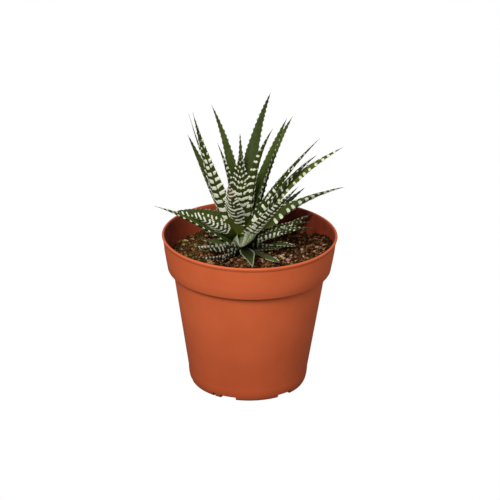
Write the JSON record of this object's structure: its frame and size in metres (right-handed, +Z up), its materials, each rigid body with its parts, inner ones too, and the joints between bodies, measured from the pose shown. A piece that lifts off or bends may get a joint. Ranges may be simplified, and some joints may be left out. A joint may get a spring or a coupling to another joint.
{
  "type": "potted haworthia",
  "caption": "Small zebra haworthia: pointed, toothed succulent leaves with raised white bands round a short stem, growing in compost in a tapered plastic nursery pot.",
  "frame": {"origin": "centre of the pot's underside, on the flat disc that it stands on", "axes": "+Z up, -Y towards the viewer of the reference picture, +X to that viewer's right"},
  "size_m": [0.1136, 0.1136, 0.1765],
  "materials": {
    "terracotta_plastic": "moulded satin",
    "compost": "crumbly, rough",
    "stem": "fibrous",
    "leaf": "waxy satin"
  },
  "bodies": {
    "root": {"pot": "terracotta_plastic", "soil": "compost", "stem": "stem", "leaf_01": "leaf", "leaf_02": "leaf", "leaf_03": "leaf", "leaf_04": "leaf", "leaf_05": "leaf", "leaf_06": "leaf", "leaf_07": "leaf", "leaf_08": "leaf", "leaf_09": "leaf", "leaf_10": "leaf", "leaf_11": "leaf", "leaf_12": "leaf", "leaf_13": "leaf", "leaf_14": "leaf", "leaf_15": "leaf", "leaf_16": "leaf", "leaf_17": "leaf", "leaf_18": "leaf", "leaf_19": "leaf", "leaf_20": "leaf", "leaf_21": "leaf", "leaf_22": "leaf", "leaf_23": "leaf", "leaf_24": "leaf", "leaf_25": "leaf", "leaf_26": "leaf", "leaf_27": "leaf", "leaf_28": "leaf", "leaf_29": "leaf", "leaf_30": "leaf", "leaf_31": "leaf", "leaf_32": "leaf", "leaf_33": "leaf", "leaf_34": "leaf", "leaf_35": "leaf", "leaf_36": "leaf"}
  },
  "joints": []
}
